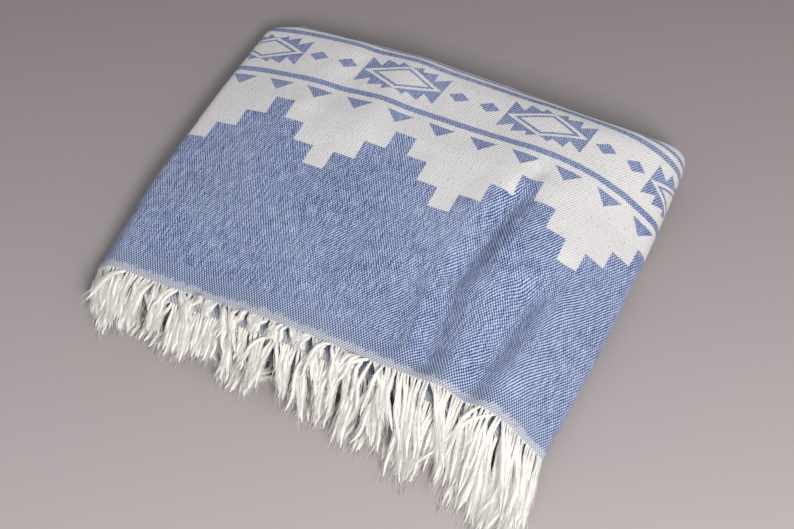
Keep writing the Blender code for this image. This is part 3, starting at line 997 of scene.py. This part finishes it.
def loose_fibres(tree, guides, given):
    """Copies of each guide wound round it, opening towards the tips, each cut to its own length."""
    copies = tree.nodes.new("GeometryNodeDuplicateElements")
    copies.domain = "SPLINE"
    tree.links.new(resampled(tree, guides, FIBRE_POINTS), copies.inputs["Geometry"])
    tree.links.new(given.outputs["Fibres"], copies.inputs["Amount"])
    names = ("angle", "reach", "cut", "tone")
    drawn = drawn_for_each(tree, copies.outputs["Geometry"], given.outputs["Seed"], names)

    share = share_along(tree)
    opening = table_curve(tree, share, [(place, reach) for place, _, reach in YARN_SHAPE])
    reach = maths(tree, "MULTIPLY_ADD", drawn["reach"], REACH_SPREAD, LEAST_REACH)
    turned = maths(tree, "MULTIPLY_ADD", share, given.outputs["Turns"], drawn["angle"])
    outward = wound_round(tree, maths(tree, "MULTIPLY", turned, math.tau))
    wound = vector_maths(tree, "SCALE", outward, scale=maths(tree, "MULTIPLY", opening, reach))
    stray = straying(tree, drawn["tone"], maths(tree, "MULTIPLY", share, given.outputs["Wander"]))
    moved = tree.nodes.new("GeometryNodeSetPosition")
    tree.links.new(drawn["Geometry"], moved.inputs["Geometry"])
    tree.links.new(vector_maths(tree, "ADD", wound, stray), moved.inputs["Offset"])

    most_lost = maths(tree, "SUBTRACT", 1.0, given.outputs["Shortest"])
    end = maths(tree, "SUBTRACT", 1.0, maths(tree, "MULTIPLY", drawn["cut"], most_lost))
    kept = trimmed(tree, moved.outputs["Geometry"], end)
    kept = stored(tree, kept, "tone", "FLOAT", drawn["tone"])
    kept = stored(tree, kept, "along", "FLOAT", share_along(tree))
    thin = maths(tree, "POWER", share_along(tree), THINNING_POWER)
    taper = maths(tree, "MULTIPLY_ADD", thin, FIBRE_THINNING, 1.0)
    radius = maths(tree, "MULTIPLY", taper, given.outputs["Fibre radius"])
    return tube(tree, kept, FIBRE_SIDES, radius)


def yarn_middles(tree, guides, given):
    """The solid middle of each yarn, which ends a little before its fibres do."""
    kept = resampled(tree, trimmed(tree, guides, MIDDLE_ENDS), MIDDLE_POINTS)
    kept = stored(tree, kept, "along", "FLOAT", share_along(tree))
    drawn = drawn_for_each(tree, kept, given.outputs["Seed"], ("tone",), TONE_DRAW)
    kept = stored(tree, drawn["Geometry"], "tone", "FLOAT", drawn["tone"])
    radius = table_curve(tree, share_along(tree), [(place, thick) for place, thick, _ in YARN_SHAPE])
    return tube(tree, kept, MIDDLE_SIDES, radius)


def lifted_to_floor(tree, geometry):
    """Keeps every point on or above the floor."""
    parts = tree.nodes.new("ShaderNodeSeparateXYZ")
    tree.links.new(tree.nodes.new("GeometryNodeInputPosition").outputs[0], parts.inputs[0])
    joined = tree.nodes.new("ShaderNodeCombineXYZ")
    tree.links.new(parts.outputs[0], joined.inputs[0])
    tree.links.new(parts.outputs[1], joined.inputs[1])
    tree.links.new(maths(tree, "MAXIMUM", parts.outputs[2], FLOOR_GAP), joined.inputs[2])
    node = tree.nodes.new("GeometryNodeSetPosition")
    tree.links.new(geometry, node.inputs["Geometry"])
    tree.links.new(joined.outputs[0], node.inputs["Position"])
    return node.outputs["Geometry"]


YARN_INPUTS = {
    "Fibres": "Int",
    "Seed": "Int",
    "Fibre radius": "Float",
    "Turns": "Float",
    "Wander": "Float",
    "Shortest": "Float",
    "Material": "Material",
}


def yarn_tree():
    """Turns the guides into yarns: a solid middle with loose fibres round it."""
    tree = bpy.data.node_groups.new("fringe_yarns", "GeometryNodeTree")
    tree.interface.new_socket("Geometry", in_out="INPUT", socket_type="NodeSocketGeometry")
    for name, kind in YARN_INPUTS.items():
        tree.interface.new_socket(name, in_out="INPUT", socket_type="NodeSocket" + kind)
    tree.interface.new_socket("Geometry", in_out="OUTPUT", socket_type="NodeSocketGeometry")
    given = tree.nodes.new("NodeGroupInput")
    curve = tree.nodes.new("GeometryNodeMeshToCurve")
    tree.links.new(given.outputs["Geometry"], curve.inputs["Mesh"])
    guides = curve.outputs["Curve"]
    joined = tree.nodes.new("GeometryNodeJoinGeometry")
    tree.links.new(loose_fibres(tree, guides, given), joined.inputs["Geometry"])
    tree.links.new(yarn_middles(tree, guides, given), joined.inputs["Geometry"])
    real = tree.nodes.new("GeometryNodeRealizeInstances")
    tree.links.new(lifted_to_floor(tree, joined.outputs["Geometry"]), real.inputs["Geometry"])
    painted = tree.nodes.new("GeometryNodeSetMaterial")
    tree.links.new(real.outputs["Geometry"], painted.inputs["Geometry"])
    tree.links.new(given.outputs["Material"], painted.inputs["Material"])
    result = tree.nodes.new("NodeGroupOutput")
    tree.links.new(painted.outputs["Geometry"], result.inputs["Geometry"])
    return tree


def set_inputs(modifier, values):
    for item in modifier.node_group.interface.items_tree:
        if item.in_out == "INPUT" and item.name in values:
            modifier[item.identifier] = values[item.name]


CREAM_ROOT = (0.950, 0.910, 0.835)
CREAM_TIP = (0.985, 0.958, 0.905)
# A darker cream for painted shade between the fibres and for the fibres' own darker tone.
CREAM_TONE_AND_PAINTED_SHADE = (0.930, 0.880, 0.795)
# Shares of the yarn's length between which the root's colour turns into the tip's.
WHITER_ALONG = (0.1, 0.7)
YARN_TWIST = 0.9
# Streaks of the yarn: size of the cotton grain round it, and how far apart the fibres' grains lie.
STREAK_SCALE, GRAIN_APART = 3.2, 37.0
# Painted shade in the grooves between the streaks, with each fibre's own tone: weights of the grain and
# of the fibre's own tone, and the remap of their sum.
STREAK_PAINTED_SHADE_SHARE, TONE_SHARE = 1.6, 0.3
STREAK_TONE_AND_PAINTED_SHADE = (-0.25, 0.55, 0.45, 0.0)
YARN = {"Roughness": 1.0, "Sheen Weight": 0.4, "Sheen Roughness": 0.8, "Specular IOR Level": 0.02}
YARN_RELIEF = (0.0008, 0.4)


def attribute_of(tree, name, output="Fac"):
    node = tree.nodes.new("ShaderNodeAttribute")
    node.attribute_name = name
    return node.outputs[output]


def yarn_material():
    material, tree, shader = start_material("cream_cotton_yarn", YARN)
    along, tone = attribute_of(tree, "along"), attribute_of(tree, "tone")
    twisted = tree.nodes.new("ShaderNodeVectorRotate")
    twisted.rotation_type = "Z_AXIS"
    tree.links.new(attribute_of(tree, "round_yarn", "Vector"), twisted.inputs["Vector"])
    tree.links.new(maths(tree, "MULTIPLY", along, YARN_TWIST * math.tau), twisted.inputs["Angle"])
    lengthwise = tree.nodes.new("ShaderNodeCombineXYZ")
    tree.links.new(maths(tree, "MULTIPLY_ADD", tone, GRAIN_APART, along), lengthwise.inputs[2])
    place = vector_maths(tree, "ADD", twisted.outputs["Vector"], lengthwise.outputs[0])
    streaks = grain_of(tree, place, STREAK_SCALE)
    colour = blend_colour(tree, remap(tree, along, *WHITER_ALONG), CREAM_ROOT, CREAM_TIP)
    tone_and_painted_shade = weighted(tree, (streaks, STREAK_PAINTED_SHADE_SHARE), (tone, TONE_SHARE))
    # Painted shade where the streaks lie low, mixed with each fibre's own tone.
    colour = blend_colour(tree, remap(tree, tone_and_painted_shade, *STREAK_TONE_AND_PAINTED_SHADE), colour, CREAM_TONE_AND_PAINTED_SHADE)
    tree.links.new(colour, shader.inputs["Base Color"])
    add_relief(tree, shader, streaks, *YARN_RELIEF)
    return material


yarn = yarn_material()
yarns = yarn_tree()


def make_fringe(name, node, layer, step, seed, values):
    fringe = guide_object(name, yarn_guides(layer, step, seed))
    modifier = fringe.modifiers.new("yarns", "NODES")
    modifier.node_group = yarns
    set_inputs(modifier, {"Seed": seed, "Material": yarn, **values})
    applied(fringe)
    fringe.data.shade_smooth()
    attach(fringe, "root")
    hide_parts(node)
    return fringe


SPUN = {"Fibres": 16, "Fibre radius": 0.00026, "Turns": 0.6, "Wander": 0.018, "Shortest": 0.70}
UPPER_SEED, UNDER_SEED = 5, 9
upper_fringe = make_fringe("upper_fringe", "fringe_upper", FIRST, 0.0, UPPER_SEED, SPUN)
under_fringe = make_fringe("under_fringe", "fringe_under", SECOND, SECOND_HEM_STEP, UNDER_SEED, SPUN)

# Floor, light and camera
# A plain pale floor, darkened softly away from the camera by painted shade for the light's falloff,
# a soft light from the right and above with a pale room round it, and the photograph's angle.

# The floor's colour in its painted shade and in its painted light.
FLOOR_IN_PAINTED_SHADE, FLOOR_IN_PAINTED_LIGHT = (0.240, 0.205, 0.201), (0.452, 0.402, 0.392)
FLOOR_ROUGHNESS = 0.9
FLOOR_SIZE = 6.0
FLOOR_Z = -0.0004
# The floor's painted shade lifts along this direction, from dark to pale over this distance.
PAINTED_LIGHT_TOWARDS, PAINTED_LIGHT_OVER = (0.49, -0.87), 0.80
KEY_PLACE, KEY_TARGET, KEY_SIZE, KEY_POWER = (1.42, -1.55, 1.80), (0.0, -0.05, 0.0), 0.9, 60
ROOM_COLOUR, ROOM_STRENGTH = (0.93, 0.95, 1.0, 1.0), 0.54
# The photograph's angle, found by matching the hem and the border's steps: turn and rise in
# degrees, distance in metres, focal length and width of the picture in pixels.
CAMERA_TURN, CAMERA_RISE, CAMERA_DISTANCE = 26.92, 54.97, 2.111
CAMERA_TARGET = (0.0054, -0.0476, 0.0)
FOCAL_PIXELS, PICTURE_WIDTH = 2065, 794
SENSOR_WIDTH = 36.0


def floor_material():
    material, tree, shader = start_material("pale_floor_painted_shade", {"Roughness": FLOOR_ROUGHNESS})
    coordinates = tree.nodes.new("ShaderNodeTexCoord")
    parts = tree.nodes.new("ShaderNodeSeparateXYZ")
    tree.links.new(coordinates.outputs["Object"], parts.inputs[0])
    to_right, to_back = PAINTED_LIGHT_TOWARDS
    towards = weighted(tree, (parts.outputs["X"], to_right), (parts.outputs["Y"], to_back))
    # Painted shade, darker away from the camera where the light falls off.
    shade = remap(tree, towards, -PAINTED_LIGHT_OVER / 2, PAINTED_LIGHT_OVER / 2)
    tree.links.new(blend_colour(tree, shade, FLOOR_IN_PAINTED_SHADE, FLOOR_IN_PAINTED_LIGHT), shader.inputs["Base Color"])
    return material


def make_floor():
    far = FLOOR_SIZE
    corners = [(-far, -far, FLOOR_Z), (far, -far, FLOOR_Z), (far, far, FLOOR_Z), (-far, far, FLOOR_Z)]
    floor = put("floor", mesh_of("floor", corners, [(0, 1, 2, 3)], False))
    floor.data.materials.append(floor_material())


def aim_object(name, data, place, direction):
    """Puts a lamp or a camera in its place, looking along a direction."""
    thing = put(name, data)
    thing.location = place
    thing.rotation_euler = direction.to_track_quat("-Z", "Y").to_euler()
    return thing


def make_light():
    light = bpy.data.lights.new("soft_key", "AREA")
    light.shape = "DISK"
    light.size = KEY_SIZE
    light.energy = KEY_POWER
    aim_object("soft_key", light, KEY_PLACE, Vector(KEY_TARGET) - Vector(KEY_PLACE))


def make_room():
    room = bpy.data.worlds.new("room")
    room.use_nodes = True
    room.node_tree.nodes["Background"].inputs["Color"].default_value = ROOM_COLOUR
    room.node_tree.nodes["Background"].inputs["Strength"].default_value = ROOM_STRENGTH
    bpy.context.scene.world = room


def make_camera():
    turn, rise = math.radians(CAMERA_TURN), math.radians(CAMERA_RISE)
    level = math.cos(rise)
    forward = Vector((-math.sin(turn) * level, math.cos(turn) * level, -math.sin(rise)))
    camera = bpy.data.cameras.new("camera")
    camera.sensor_width = SENSOR_WIDTH
    camera.lens = SENSOR_WIDTH * FOCAL_PIXELS / PICTURE_WIDTH
    place = Vector(CAMERA_TARGET) - forward * CAMERA_DISTANCE
    bpy.context.scene.camera = aim_object("camera", camera, place, forward)


bpy.context.scene.view_settings.view_transform = "Standard"
make_floor()
make_light()
make_room()
make_camera()
